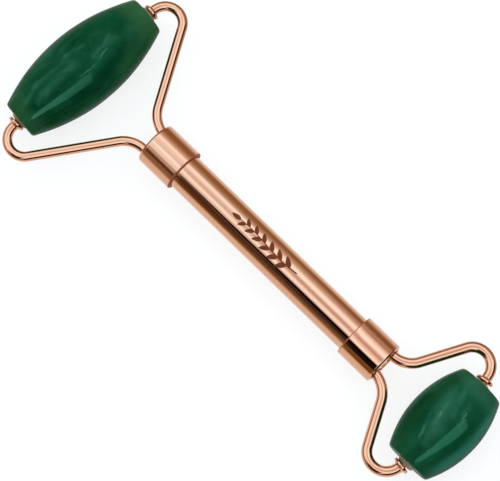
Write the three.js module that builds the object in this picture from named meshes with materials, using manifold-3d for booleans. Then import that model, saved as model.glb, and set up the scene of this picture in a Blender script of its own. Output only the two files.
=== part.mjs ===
// Double-ended facial roller: a plated handle tube with a wire yoke at each end,
// each yoke carrying a barrel-shaped stone that turns on two pins.
// Millimetres. +X runs along the handle towards the large stone, +Z is up, and the
// wire yokes lie in the plane Z = 0. The origin is on the handle's axis, at the
// middle of the overall length.
import * as THREE from 'three';
import { mergeVertices } from 'three/addons/utils/BufferGeometryUtils.js';
import Module from 'manifold-3d';

const wasm = await Module();
wasm.setup();

// ---------------------------------------------------------------- dimensions
const HANDLE_X = -3.2;          // middle of the handle, from the origin
const TUBE_OD = 10.0;
const TUBE_ID = 8.0;
const TUBE_HALF = 33.9;         // half the tube's length
const TUBE_CHAMFER = 0.3;

const FERRULE_OD = 12.0;
const FERRULE_ID = 10.12;
const FERRULE_IN = 30.4;        // rim that faces the grip, from the handle's middle
const FERRULE_OUT_LARGE = 41.4; // outer end, large stone's side
const FERRULE_OUT_SMALL = 41.2; // outer end, small stone's side
const FERRULE_EDGE = 0.75;      // rounding of the outer end's edge
const FERRULE_RIM = 0.2;        // rounding of the rim that faces the grip

const PLUG_OD = 10.02;
const PLUG_RECESS = 0.35;       // plug face below the ferrule's end
const PLUG_FROM = 34.1;         // shoulder that butts on the tube's end
const SPIGOT_OD = 7.9;
const SPIGOT_LEN = 8.0;
const TAIL_DEPTH = 6.2;         // how far a wire tail goes into the plug
const TAIL_Y = 3.15;            // offset of each tail from the handle's axis
const HOLE_CLEARANCE = 0.1;     // radial gap around a tail

const WIRE_D_LARGE = 2.65;
const WIRE_D_SMALL = 2.85;
const PIN_D = 2.0;              // turned-down end of the wire
const PIN_LEN = 6.0;            // length of the pin past the collar's inner face
const WIRE_SIDES = 12;

const COLLAR_OD = 4.9;
const COLLAR_T = 0.7;
const COLLAR_EDGE = 0.25;

const BUSH_OD = 5.4;
const BUSH_BORE = 2.13;
const BUSH_IN = 8.0;            // length of the bush inside the stone
const BUSH_CLEAR = 0.12;        // running clearance between a bush and its collar
const STONE_BORE = 5.5;

// A stone: centre (from the handle's middle), tilt of its axis in the yoke's plane,
// length, diameter at the middle, diameter at the ends, rounding of the end edges.
const LARGE = { x: 68.58, y: -1.13, tilt: -5.46, len: 43.06, mid: 20.08, end: 10.52, edge: 0.9, power: 2.03 };
const SMALL = { x: -62.43, y: 0.26, tilt: 0.09, len: 27.15, mid: 19.52, end: 12.64, edge: 1.1, power: 2.05 };

// A wire arm: side (+1 is +Y), start of its first bend past the ferrule's end,
// radius and angle of that bend, radius of the hook, and the gap between the
// stone's end and the inner face of its collar.
const ARMS = [
  { name: 'large_arm_left', end: 1, side: 1, start: 0.54, r1: 7.88, bend: 53.68, hook: 4.62, gap: 0.90 },
  { name: 'large_arm_right', end: 1, side: -1, start: -1.23, r1: 8.06, bend: 61.50, hook: 4.62, gap: 0.72 },
  { name: 'small_arm_left', end: -1, side: 1, start: -0.97, r1: 7.79, bend: 62.65, hook: 4.96, gap: 1.16 },
  { name: 'small_arm_right', end: -1, side: -1, start: -0.08, r1: 6.92, bend: 61.56, hook: 4.74, gap: 1.05 },
];

const SEG = 40;                 // facets round the handle
const STONE_SEG = 36;
const BUSH_SEG = 20;
const RAD = Math.PI / 180;

// ---------------------------------------------------------------- materials
const metal = (roughness) => new THREE.MeshStandardMaterial({ color: 0xe3a284, roughness, metalness: 1.0 });
const roseGold = metal(0.08);
const roseGoldInner = metal(0.3);
const jade = new THREE.MeshStandardMaterial({ color: 0x1c5638, roughness: 0.1, metalness: 0.0 });
const cream = new THREE.MeshStandardMaterial({ color: 0xc9b592, roughness: 0.45, metalness: 0.0 });

// ---------------------------------------------------------------- helpers
// Keep positions only, share the vertices and turn the faces outwards.
function closed(geometry) {
  const g = geometry.clone();
  g.deleteAttribute('normal');
  g.deleteAttribute('uv');
  const m = mergeVertices(g, 1e-4);
  const p = m.attributes.position;
  const idx = Array.from(m.index.array);
  const keep = [];
  let volume = 0;
  const a = new THREE.Vector3(), b = new THREE.Vector3(), c = new THREE.Vector3();
  for (let i = 0; i < idx.length; i += 3) {
    const [i0, i1, i2] = [idx[i], idx[i + 1], idx[i + 2]];
    if (i0 === i1 || i1 === i2 || i0 === i2) continue;
    keep.push(i0, i1, i2);
    a.fromBufferAttribute(p, i0);
    b.fromBufferAttribute(p, i1);
    c.fromBufferAttribute(p, i2);
    volume += a.dot(b.cross(c));
  }
  if (volume < 0) {
    for (let i = 0; i < keep.length; i += 3) [keep[i + 1], keep[i + 2]] = [keep[i + 2], keep[i + 1]];
  }
  m.setIndex(keep);
  return m;
}

function solid(geometry) {
  const g = closed(geometry);
  return new wasm.Manifold(new wasm.Mesh({
    numProp: 3,
    vertProperties: new Float32Array(g.attributes.position.array),
    triVerts: new Uint32Array(g.index.array),
  }));
}

function fromSolid(manifold) {
  const mesh = manifold.getMesh();
  const g = new THREE.BufferGeometry();
  g.setAttribute('position', new THREE.BufferAttribute(new Float32Array(mesh.vertProperties), 3));
  g.setIndex(Array.from(mesh.triVerts));
  return g;
}

// Round the marked corners of a closed profile. Each point is [radius, height, rounding].
function rounded(points, steps = 3) {
  const out = [];
  const n = points.length;
  for (let i = 0; i < n; i++) {
    const [x, y, r = 0] = points[i];
    if (!r) { out.push(new THREE.Vector2(x, y)); continue; }
    const [px, py] = points[(i + n - 1) % n];
    const [qx, qy] = points[(i + 1) % n];
    const p = new THREE.Vector2(x, y);
    const u = new THREE.Vector2(px - x, py - y).normalize();
    const v = new THREE.Vector2(qx - x, qy - y).normalize();
    const half = Math.acos(THREE.MathUtils.clamp(u.dot(v), -1, 1)) / 2;
    const back = r / Math.tan(half);
    const t1 = p.clone().addScaledVector(u, back);
    const t2 = p.clone().addScaledVector(v, back);
    const centre = p.clone().addScaledVector(u.clone().add(v).normalize(), r / Math.sin(half));
    const a1 = Math.atan2(t1.y - centre.y, t1.x - centre.x);
    let da = Math.atan2(t2.y - centre.y, t2.x - centre.x) - a1;
    while (da > Math.PI) da -= 2 * Math.PI;
    while (da < -Math.PI) da += 2 * Math.PI;
    for (let k = 0; k <= steps; k++) {
      const a = a1 + (da * k) / steps;
      out.push(new THREE.Vector2(centre.x + r * Math.cos(a), centre.y + r * Math.sin(a)));
    }
  }
  return out;
}

// Turn a closed profile into a ring about the Y axis.
function ring(points, segments) {
  return closed(new THREE.LatheGeometry([...points, points[0].clone()], segments));
}

// The same ring about the X axis; height becomes +X.
function ringAlongX(points, segments) {
  return ring(points, segments).rotateZ(-Math.PI / 2);
}

function bar(radius, from, to, segments) {
  const g = new THREE.CylinderGeometry(radius, radius, to - from, segments);
  g.translate(0, (from + to) / 2, 0);
  return g;
}

function node(name, geometry, material) {
  const mesh = new THREE.Mesh(geometry, material.clone());
  mesh.name = name;
  return mesh;
}

// ---------------------------------------------------------------- handle
const handle = new THREE.Group();
handle.position.x = HANDLE_X;

handle.add(node('handle_tube', ringAlongX(rounded([
  [TUBE_ID / 2, -TUBE_HALF], [TUBE_OD / 2, -TUBE_HALF, TUBE_CHAMFER],
  [TUBE_OD / 2, TUBE_HALF, TUBE_CHAMFER], [TUBE_ID / 2, TUBE_HALF],
], 2), SEG), roseGold));

function ferrule(end, out) {
  const s = end;
  return ringAlongX(rounded([
    [FERRULE_ID / 2, s * FERRULE_IN], [FERRULE_OD / 2, s * FERRULE_IN, FERRULE_RIM],
    [FERRULE_OD / 2, s * out, FERRULE_EDGE], [FERRULE_ID / 2, s * out],
  ], 3), SEG);
}
handle.add(node('ferrule_large', ferrule(1, FERRULE_OUT_LARGE), roseGold));
handle.add(node('ferrule_small', ferrule(-1, FERRULE_OUT_SMALL), roseGold));

function plug(end, out, wire) {
  const face = out - PLUG_RECESS;
  const profile = [
    [0, PLUG_FROM - SPIGOT_LEN], [SPIGOT_OD / 2, PLUG_FROM - SPIGOT_LEN],
    [SPIGOT_OD / 2, PLUG_FROM], [PLUG_OD / 2, PLUG_FROM],
    [PLUG_OD / 2, face - 0.15], [PLUG_OD / 2 - 0.15, face], [0, face],
  ].map(([r, h]) => new THREE.Vector2(r, h * end));
  const body = new THREE.LatheGeometry(profile, SEG).rotateZ(-Math.PI / 2);
  let m = solid(body);
  for (const side of [1, -1]) {
    const hole = bar(wire / 2 + HOLE_CLEARANCE, out - TAIL_DEPTH - 0.4, out + 2, 24);
    hole.rotateZ(-Math.PI / 2);
    if (end < 0) hole.rotateY(Math.PI);
    hole.translate(0, side * TAIL_Y, 0);
    m = m.subtract(solid(hole));
  }
  return fromSolid(m);
}
handle.add(node('end_plug_large', plug(1, FERRULE_OUT_LARGE, WIRE_D_LARGE), roseGoldInner));
handle.add(node('end_plug_small', plug(-1, FERRULE_OUT_SMALL, WIRE_D_SMALL), roseGoldInner));

// ---------------------------------------------------------------- wire arms
// A flat path of straights and arcs, sampled only where it bends.
class WirePath extends THREE.Curve {
  constructor(stations) { super(); this.stations = stations; }
  getUtoTmapping(u) { return u; }
  at(t) {
    const f = THREE.MathUtils.clamp(t, 0, 1) * (this.stations.length - 1);
    const i = Math.min(Math.floor(f), this.stations.length - 2);
    return [this.stations[i], this.stations[i + 1], f - i];
  }
  getPoint(t, target = new THREE.Vector3()) {
    const [a, b, f] = this.at(t);
    return target.set(a.x + (b.x - a.x) * f, a.y + (b.y - a.y) * f, 0);
  }
  getTangent(t, target = new THREE.Vector3()) {
    const [a, b, f] = this.at(t);
    return target.set(a.hx + (b.hx - a.hx) * f, a.hy + (b.hy - a.hy) * f, 0).normalize();
  }
}

function armStations(arm, stone, out) {
  const turn = arm.end * arm.side;             // first bend, +1 anticlockwise
  const axis = new THREE.Vector2(-Math.sin(stone.tilt * RAD), Math.cos(stone.tilt * RAD)).multiplyScalar(arm.side);
  const centre = new THREE.Vector2(stone.x, stone.y);
  const stations = [];
  let p = new THREE.Vector2(arm.end * (out - TAIL_DEPTH), arm.side * TAIL_Y);
  let heading = arm.end > 0 ? 0 : Math.PI;
  const push = () => stations.push({ x: p.x, y: p.y, hx: Math.cos(heading), hy: Math.sin(heading) });
  const line = (length) => {
    p = new THREE.Vector2(p.x + length * Math.cos(heading), p.y + length * Math.sin(heading));
    push();
  };
  const arc = (radius, angle, sense, steps) => {
    const c = new THREE.Vector2(p.x - sense * radius * Math.sin(heading), p.y + sense * radius * Math.cos(heading));
    for (let i = 1; i <= steps; i++) {
      const h = heading + (sense * angle * i) / steps;
      const q = new THREE.Vector2(c.x + sense * radius * Math.sin(h), c.y - sense * radius * Math.cos(h));
      stations.push({ x: q.x, y: q.y, hx: Math.cos(h), hy: Math.sin(h) });
    }
    const last = stations[stations.length - 1];
    heading += sense * angle;
    p = new THREE.Vector2(last.x, last.y);
  };
  push();
  line(TAIL_DEPTH + arm.start);
  arc(arm.r1, arm.bend * RAD, turn, 7);
  // The hook turns back until the wire points along the stone's axis, and the straight
  // before it is as long as puts its end on that axis.
  const goal = Math.atan2(-axis.y, -axis.x);
  const sense = -turn;
  let angle = sense * (goal - heading);
  angle = ((angle % (2 * Math.PI)) + 2 * Math.PI) % (2 * Math.PI);
  const normal = new THREE.Vector2(-axis.y, axis.x);
  const offAxis = (l) => {
    const q = new THREE.Vector2(p.x + l * Math.cos(heading), p.y + l * Math.sin(heading));
    const c = new THREE.Vector2(q.x - sense * arm.hook * Math.sin(heading), q.y + sense * arm.hook * Math.cos(heading));
    const h = heading + sense * angle;
    const e = new THREE.Vector2(c.x + sense * arm.hook * Math.sin(h), c.y - sense * arm.hook * Math.cos(h));
    return e.sub(centre).dot(normal);
  };
  const e0 = offAxis(0);
  const straight = -e0 / (offAxis(1) - e0);
  line(straight);
  arc(arm.hook, angle, sense, 14);
  // Straight run to the collar's inner face.
  const along = new THREE.Vector2(p.x, p.y).sub(centre).dot(axis);
  line(along - (stone.len / 2 + arm.gap));
  return stations;
}

function circle(radius, sides) {
  const shape = new THREE.Shape();
  for (let i = 0; i < sides; i++) {
    const a = (2 * Math.PI * i) / sides;
    if (i) shape.lineTo(radius * Math.cos(a), radius * Math.sin(a));
    else shape.moveTo(radius, 0);
  }
  shape.closePath();
  return shape;
}

function armGeometry(arm) {
  const stone = arm.end > 0 ? LARGE : SMALL;
  const out = arm.end > 0 ? FERRULE_OUT_LARGE : FERRULE_OUT_SMALL;
  const wire = arm.end > 0 ? WIRE_D_LARGE : WIRE_D_SMALL;
  const stations = armStations(arm, stone, out);
  const path = new WirePath(stations);
  const swept = new THREE.ExtrudeGeometry(circle(wire / 2, WIRE_SIDES), {
    steps: stations.length - 1, bevelEnabled: false, extrudePath: path,
  });
  const tip = stations[stations.length - 1];
  const pin = bar(PIN_D / 2, -0.5, PIN_LEN, 16);
  pin.rotateZ(Math.atan2(tip.hy, tip.hx) - Math.PI / 2);
  pin.translate(tip.x, tip.y, 0);
  return fromSolid(solid(swept).add(solid(pin)));
}
for (const arm of ARMS) handle.add(node(arm.name, armGeometry(arm), roseGold));

// ---------------------------------------------------------------- collars
for (const arm of ARMS) {
  const stone = arm.end > 0 ? LARGE : SMALL;
  const wire = arm.end > 0 ? WIRE_D_LARGE : WIRE_D_SMALL;
  const bore = wire / 2 + 0.06;
  const g = ring(rounded([
    [bore, 0], [COLLAR_OD / 2, 0, COLLAR_EDGE], [COLLAR_OD / 2, COLLAR_T, COLLAR_EDGE], [bore, COLLAR_T],
  ], 1), 24);
  const mesh = node(arm.name.replace('arm', 'collar'), g, roseGold);
  const seat = new THREE.Group();
  seat.position.set(stone.x, stone.y, 0);
  seat.rotation.z = stone.tilt * RAD + (arm.side > 0 ? 0 : Math.PI);
  mesh.position.y = stone.len / 2 + arm.gap;
  seat.add(mesh);
  handle.add(seat);
}

// ---------------------------------------------------------------- rollers
function stoneGeometry(stone) {
  const h = stone.len / 2;
  const profile = [[STONE_BORE / 2, -h], [stone.end / 2, -h, stone.edge]];
  const steps = 10;
  for (let i = 1; i < steps; i++) {
    const t = -1 + (2 * i) / steps;
    profile.push([stone.mid / 2 - ((stone.mid - stone.end) / 2) * Math.abs(t) ** stone.power, t * h]);
  }
  profile.push([stone.end / 2, h, stone.edge], [STONE_BORE / 2, h]);
  return ring(rounded(profile, 2), STONE_SEG);
}

function bushGeometry(stone, side, outLength) {
  const h = stone.len / 2;
  return ring(rounded([
    [BUSH_BORE / 2, side * (h - BUSH_IN)], [BUSH_OD / 2, side * (h - BUSH_IN)],
    [BUSH_OD / 2, side * (h + outLength), 0.2], [BUSH_BORE / 2, side * (h + outLength)],
  ], 1), BUSH_SEG);
}

// a bush reaches up to the collar on its side, less the running clearance
function bushOut(end, side) {
  return ARMS.find((arm) => arm.end === end && arm.side === side).gap - BUSH_CLEAR;
}

function roller(prefix, stone, end) {
  const group = new THREE.Group();
  group.position.set(stone.x, stone.y, 0);
  group.rotation.z = stone.tilt * RAD;
  group.add(node(`${prefix}_stone`, stoneGeometry(stone), jade));
  group.add(node(`${prefix}_bush_left`, bushGeometry(stone, 1, bushOut(end, 1)), cream));
  group.add(node(`${prefix}_bush_right`, bushGeometry(stone, -1, bushOut(end, -1)), cream));
  return group;
}
handle.add(roller('large', LARGE, 1));
handle.add(roller('small', SMALL, -1));

const model = new THREE.Group();
model.add(handle);
export default model;
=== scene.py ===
import bpy
import math
from mathutils import Matrix, Vector
from mathutils.geometry import delaunay_2d_cdt


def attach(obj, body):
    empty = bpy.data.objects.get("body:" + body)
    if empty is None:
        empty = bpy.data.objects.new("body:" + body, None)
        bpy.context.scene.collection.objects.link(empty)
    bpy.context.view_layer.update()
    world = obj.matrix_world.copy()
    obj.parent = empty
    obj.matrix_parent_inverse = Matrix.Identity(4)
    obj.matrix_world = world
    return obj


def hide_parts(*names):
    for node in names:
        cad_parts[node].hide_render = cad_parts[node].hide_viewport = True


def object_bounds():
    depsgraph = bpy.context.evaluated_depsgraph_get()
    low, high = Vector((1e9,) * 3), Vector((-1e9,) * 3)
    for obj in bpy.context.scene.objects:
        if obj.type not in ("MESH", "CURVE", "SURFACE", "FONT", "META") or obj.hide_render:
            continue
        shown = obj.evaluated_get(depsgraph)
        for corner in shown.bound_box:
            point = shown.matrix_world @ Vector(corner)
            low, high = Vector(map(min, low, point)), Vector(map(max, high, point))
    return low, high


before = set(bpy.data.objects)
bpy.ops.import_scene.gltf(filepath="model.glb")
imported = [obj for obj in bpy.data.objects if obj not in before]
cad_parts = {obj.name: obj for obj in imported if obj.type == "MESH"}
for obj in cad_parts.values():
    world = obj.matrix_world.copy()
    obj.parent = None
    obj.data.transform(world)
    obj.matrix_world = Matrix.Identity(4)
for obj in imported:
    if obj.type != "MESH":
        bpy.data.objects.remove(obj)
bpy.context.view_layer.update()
MM = 0.001
RAD = math.pi / 180.0
scene = bpy.context.scene

# ------------------------------------------------------------------ dimensions, mm
HANDLE_X = -3.2
TUBE_R, TUBE_BORE, TUBE_HALF = 5.0, 4.0, 33.9
FERRULE_R, FERRULE_BORE, FERRULE_IN = 6.0, 5.06, 30.4
FERRULE_OUT = {1: 41.4, -1: 41.2}
PLUG_R, PLUG_FROM, PLUG_RECESS = 5.01, 34.1, 0.35
SPIGOT_R, SPIGOT_LEN, TAIL_DEPTH, TAIL_Y = 3.95, 8.0, 6.2, 3.15
WIRE_R = {1: 1.325, -1: 1.425}
PIN_R, PIN_LEN = 1.0, 6.0
COLLAR_T = 0.85
BUSH_R, BUSH_BORE, BUSH_IN = 2.7, 1.065, 8.0
STONE_BORE = 2.75
STONE = {
    1: dict(x=68.58, y=-1.13, tilt=-5.46, half=21.53, mid=10.04, end=5.26, edge=0.9, power=2.03),
    -1: dict(x=-62.43, y=0.26, tilt=0.09, half=13.575, mid=9.76, end=6.32, edge=1.1, power=2.05),
}
ARMS = [
    dict(name="large_arm_left", end=1, side=1, start=0.54, r1=7.88, bend=53.68, hook=4.62, seat=0.78, off=0.0, lean=5.5, bush=0.54, rim=2.36),
    dict(name="large_arm_right", end=1, side=-1, start=-1.23, r1=8.06, bend=61.50, hook=4.62, seat=0.86, off=-0.08, lean=0.5, bush=0.72, rim=2.28),
    dict(name="small_arm_left", end=-1, side=1, start=-0.97, r1=7.79, bend=62.65, hook=4.96, seat=1.18, off=-0.45, lean=9.5, bush=0.83, rim=2.42),
    dict(name="small_arm_right", end=-1, side=-1, start=-0.08, r1=6.92, bend=61.56, hook=4.74, seat=0.96, off=-0.24, lean=8.5, bush=0.60, rim=2.42),
]
PREFIX = {1: "large", -1: "small"}


# ------------------------------------------------------------------ node tools
class Graph:
    """A short way to write a node tree."""

    def __init__(self, tree):
        self.t = tree
        tree.nodes.clear()

    def add(self, kind, **kw):
        n = self.t.nodes.new(kind)
        for k, v in kw.items():
            setattr(n, k, v)
        return n

    def link(self, a, b):
        self.t.links.new(a, b)

    def put(self, socket, value):
        if isinstance(value, bpy.types.NodeSocket):
            self.link(value, socket)
        elif value is not None:
            socket.default_value = value

    def math(self, op, a, b=None, c=None, clamp=False):
        n = self.add("ShaderNodeMath", operation=op, use_clamp=clamp)
        for i, v in enumerate((a, b, c)):
            self.put(n.inputs[i], v)
        return n.outputs[0]

    def vec(self, op, a, b=None, scale=None):
        n = self.add("ShaderNodeVectorMath", operation=op)
        self.put(n.inputs[0], a)
        self.put(n.inputs[1], b)
        if scale is not None:
            self.put(n.inputs["Scale"], scale)
        return n.outputs["Value"] if op in ("DOT_PRODUCT", "LENGTH", "DISTANCE") else n.outputs[0]

    def ramp(self, fac, stops, interp="LINEAR"):
        n = self.add("ShaderNodeValToRGB")
        n.color_ramp.interpolation = interp
        e = n.color_ramp.elements
        while len(e) > 1:
            e.remove(e[-1])
        first = True
        for pos, col in stops:
            if not isinstance(col, (tuple, list)):
                col = (col, col, col)
            if first:
                e[0].position = pos
                el = e[0]
                first = False
            else:
                el = e.new(pos)
            el.color = (*col, 1.0)
        self.put(n.inputs[0], fac)
        return n.outputs[0]

    def mix(self, fac, a, b, blend="MIX"):
        n = self.add("ShaderNodeMix", data_type="RGBA", blend_type=blend)
        self.put(n.inputs[0], fac)
        for s, v in ((n.inputs[6], a), (n.inputs[7], b)):
            if isinstance(v, (tuple, list)) and len(v) == 3:
                v = (*v, 1.0)
            self.put(s, v)
        return n.outputs[2]

    def remap(self, v, a, b, c=0.0, d=1.0, smooth=False):
        n = self.add("ShaderNodeMapRange", interpolation_type="SMOOTHSTEP" if smooth else "LINEAR")
        for i, x in enumerate((v, a, b, c, d)):
            self.put(n.inputs[i], x)
        return n.outputs[0]

    def noise(self, vector, scale, detail=3.0, rough=0.55, dist=0.0, kind="FBM", w=None):
        n = self.add("ShaderNodeTexNoise", noise_type=kind)
        if w is not None:
            n.noise_dimensions = "4D"
            n.inputs["W"].default_value = w
        self.put(n.inputs["Vector"], vector)
        n.inputs["Scale"].default_value = scale
        n.inputs["Detail"].default_value = detail
        n.inputs["Roughness"].default_value = rough
        n.inputs["Distortion"].default_value = dist
        return n

    def mapping(self, vector, scale=(1, 1, 1), location=(0, 0, 0), rotation=(0, 0, 0), kind="POINT"):
        n = self.add("ShaderNodeMapping", vector_type=kind)
        self.put(n.inputs["Vector"], vector)
        n.inputs["Location"].default_value = location
        n.inputs["Rotation"].default_value = rotation
        n.inputs["Scale"].default_value = scale
        return n.outputs[0]

    def bump(self, height, strength, distance, normal=None):
        n = self.add("ShaderNodeBump")
        n.inputs["Strength"].default_value = strength
        n.inputs["Distance"].default_value = distance
        self.put(n.inputs["Height"], height)
        if normal is not None:
            self.put(n.inputs["Normal"], normal)
        return n.outputs[0]


def material(name):
    m = bpy.data.materials.new(name)
    m.use_nodes = True
    g = Graph(m.node_tree)
    out = g.add("ShaderNodeOutputMaterial")
    p = g.add("ShaderNodeBsdfPrincipled")
    g.link(p.outputs[0], out.inputs[0])
    return m, g, p


# ------------------------------------------------------------------ materials
GOLD = (0.665, 0.348, 0.212)


def plated(name, along, streak=0.02, tint=GOLD, rough=0.026):
    """Mirror-polished plating. along is the axis that the drawing lines run along."""
    m, g, p = material(name)
    co = g.add("ShaderNodeTexCoord").outputs["Object"]
    cloud = g.noise(g.mapping(co, (90, 90, 90)), 1.0, 2.0).outputs["Fac"]
    p.inputs["Metallic"].default_value = 1.0
    g.put(p.inputs["Base Color"], g.mix(g.remap(cloud, 0.35, 0.65), tint, tuple(c * s for c, s in zip(tint, (0.985, 0.965, 0.955)))))
    fine = [1800.0, 1800.0, 1800.0]
    fine[along] = 55.0
    lines = g.noise(g.mapping(co, tuple(fine)), 1.0, 2.0, 0.6).outputs["Fac"]
    smudge = g.noise(g.mapping(co, (160, 160, 160)), 1.0, 3.0, 0.6).outputs["Fac"]
    g.put(p.inputs["Roughness"], g.remap(g.math("ADD", g.math("MULTIPLY", lines, 0.5), g.math("MULTIPLY", smudge, 0.5)), 0.3, 0.7, rough * 0.6, rough * 1.5))
    soft = g.noise(g.mapping(co, (120, 120, 120)), 1.0, 1.0).outputs["Fac"]
    b1 = g.bump(soft, streak * 2.0, 0.0002)
    b2 = g.bump(lines, streak, 0.00003, b1)
    g.put(p.inputs["Normal"], b2)
    return m


def etched(name):
    """The darkened floor of the engraving."""
    m, g, p = material(name)
    co = g.add("ShaderNodeTexCoord").outputs["Object"]
    n = g.noise(g.mapping(co, (2600, 2600, 2600)), 1.0, 3.0, 0.7).outputs["Fac"]
    g.put(p.inputs["Base Color"], g.mix(g.remap(n, 0.3, 0.7), (0.135, 0.028, 0.0085), (0.215, 0.050, 0.0175)))
    g.put(p.inputs["Roughness"], g.remap(n, 0.3, 0.7, 0.65, 0.85))
    p.inputs["Specular IOR Level"].default_value = 0.08
    g.put(p.inputs["Normal"], g.bump(n, 0.35, 0.00004))
    return m


def seam_shade(name):
    """Rough, dark red-brown finish: painted shade of the seam where the ferrule meets the tube."""
    m, g, p = material(name)
    co = g.add("ShaderNodeTexCoord").outputs["Object"]
    n = g.noise(g.mapping(co, (1500, 1500, 1500)), 1.0, 3.0, 0.6).outputs["Fac"]
    g.put(p.inputs["Base Color"], g.mix(g.remap(n, 0.3, 0.7), (0.330, 0.080, 0.036), (0.47, 0.138, 0.066)))
    g.put(p.inputs["Roughness"], g.remap(n, 0.3, 0.7, 0.42, 0.6))
    p.inputs["Specular IOR Level"].default_value = 0.06
    g.put(p.inputs["Normal"], g.bump(n, 0.15, 0.00003))
    return m


def segment(g, p, a, b, soft):
    """1 on the segment from a to b, falling to 0 at the distance soft (all in mm, stone frame)."""
    a, b = Vector(a), Vector(b)
    ab = b - a
    rel = g.vec("SUBTRACT", p, tuple(a))
    t = g.math("DIVIDE", g.vec("DOT_PRODUCT", rel, tuple(ab)), ab.length_squared, clamp=True)
    near = g.vec("SCALE", tuple(ab), scale=t)
    d = g.vec("LENGTH", g.vec("SUBTRACT", rel, near))
    return g.remap(d, soft, 0.0, smooth=True)


STREAKS = {
    1: [((0.5, 19.3, 6.2), (2.2, 13.1, 8.0), 1.2, 0.42), ((2.2, 13.1, 8.0), (2.9, 1.8, 9.6), 1.5, 0.36), ((2.9, 1.8, 9.6), (2.3, -2.7, 9.7), 1.0, 0.30),
        ((-1.3, 14.8, 8.0), (-0.1, 2.1, 9.9), 2.0, 0.40), ((-1.9, -3.2, 9.8), (-0.1, -9.9, 9.4), 1.1, 0.34), ((-3.1, -4.3, 9.4), (-1.7, -10.4, 8.8), 1.8, 0.26),
        ((4.2, 18.0, 5.0), (5.4, 2.0, 8.4), 2.4, 0.22)],
    -1: [((1.7, 7.7, 8.5), (3.9, 1.4, 8.9), 0.70, 0.55), ((1.5, 2.0, 9.6), (2.8, -3.8, 9.1), 1.1, 0.60), ((-0.7, -2.3, 9.6), (1.3, -8.5, 8.3), 1.5, 0.38),
         ((-2.7, -3.6, 9.1), (-1.6, -7.0, 8.7), 1.1, 0.45), ((-0.3, 7.1, 8.9), (0.7, 2.1, 9.7), 2.0, 0.40)],
}
CRACKS = {
    1: [((-3.6, 2.7, 9.3), (-3.9, -0.3, 9.2), 0.24, 0.50), ((-3.9, -0.3, 9.2), (-3.7, -3.0, 9.3), 0.24, 0.55), ((-3.1, -4.3, 9.4), (-2.3, -7.2, 9.2), 0.30, 0.50), ((-4.7, 0.0, 8.9), (-4.0, 0.3, 9.2), 0.20, 0.30)],
    -1: [((1.7, 0.2, 9.6), (2.2, -0.9, 9.5), 0.34, 0.60), ((1.9, 6.6, 8.6), (2.4, 5.0, 8.9), 0.30, 0.45), ((-2.7, -3.6, 9.1), (-2.6, -4.9, 8.9), 0.30, 0.45)],
}
# dark patches (from, to, soft, strength): those on each stone's handle side, x below -5 on the large stone and above 4
# on the small one, are painted shade; the others are darker cloud in the stone
DARK_CLOUD_AND_SHADE = {
    1: [((-6.8, -4.0, 7.0), (-7.2, 6.0, 6.6), 3.6, 0.80), ((-5.6, -9.0, 7.6), (-6.2, -2.0, 7.4), 2.8, 0.65), ((-6.2, 17.0, 3.4), (-7.0, 5.0, 6.7), 2.3, 0.60),
        ((-1.0, 17.6, 6.4), (-3.0, 4.5, 9.3), 1.9, 0.60)],
    -1: [((-5.5, -3.0, 7.6), (-6.0, 6.0, 7.2), 3.2, 0.55), ((4.8, 4.0, 8.0), (5.1, -5.0, 7.9), 2.4, 0.30), ((-0.6, 12.0, 7.0), (-0.9, 5.0, 9.2), 2.4, 0.50),
         ((6.6, 8.0, 5.9), (7.3, -2.0, 6.3), 2.6, 0.75)],
}


# thin dark lines on the upper half, drawn as seen from above: (x, y) to (x, y), width, strength. Those along each
# stone's handle-side edge, x near -8 on the large stone and near +8 on the small one, are a painted dark reflection
# edge; the others are veins.
LINES = {
    1: [((6.6, 13.5), (8.3, 4.0), 0.34, 0.55), ((8.3, 4.0), (8.2, -6.0), 0.34, 0.55), ((8.2, -6.0), (6.9, -13.0), 0.30, 0.45),
        ((-5.0, 18.6), (-7.6, 7.0), 0.30, 0.55), ((-7.6, 7.0), (-8.2, 0.0), 0.30, 0.40), ((-5.9, 18.0), (-8.6, 6.0), 0.26, 0.45)],
    -1: [((5.2, 11.0), (8.0, 4.0), 0.32, 0.45), ((8.0, 4.0), (8.4, -3.0), 0.32, 0.35), ((-1.0, 12.5), (-2.4, 6.5), 0.28, 0.40)],
}
# colour patches (from, to, soft, strength, colour): on the small stone, the light blue-green strip along the outer edge
# (x near -8) is a painted reflection, and the dark strip on the handle side (x near +6) is painted shade; the others
# are the stone's own tints
TINTS_AND_PAINTED_LIGHT = {
    1: [((-8.3, -8.0, 4.4), (-4.6, -17.5, 5.2), 4.6, 0.62, (0.021, 0.100, 0.034)), ((-2.6, -14.0, 7.4), (-1.6, -15.5, 7.2), 3.0, 0.40, (0.016, 0.098, 0.036)),
        ((-6.4, 18.4, 2.0), (-2.4, 19.4, 5.0), 3.8, 0.60, (0.021, 0.096, 0.038))],
    -1: [((0.6, 2.6, 9.6), (3.6, -6.0, 8.6), 4.2, 0.48, (0.030, 0.138, 0.072)), ((-5.0, -10.4, 6.0), (2.2, -11.0, 7.2), 3.6, 0.50, (0.026, 0.120, 0.066)),
         ((-7.7, 11.0, 4.6), (-8.1, -11.0, 4.4), 3.2, 0.90, (0.022, 0.150, 0.092)), ((5.6, 9.0, 6.4), (6.2, -9.0, 6.2), 3.6, 0.60, (0.007, 0.050, 0.013))],
}


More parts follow.
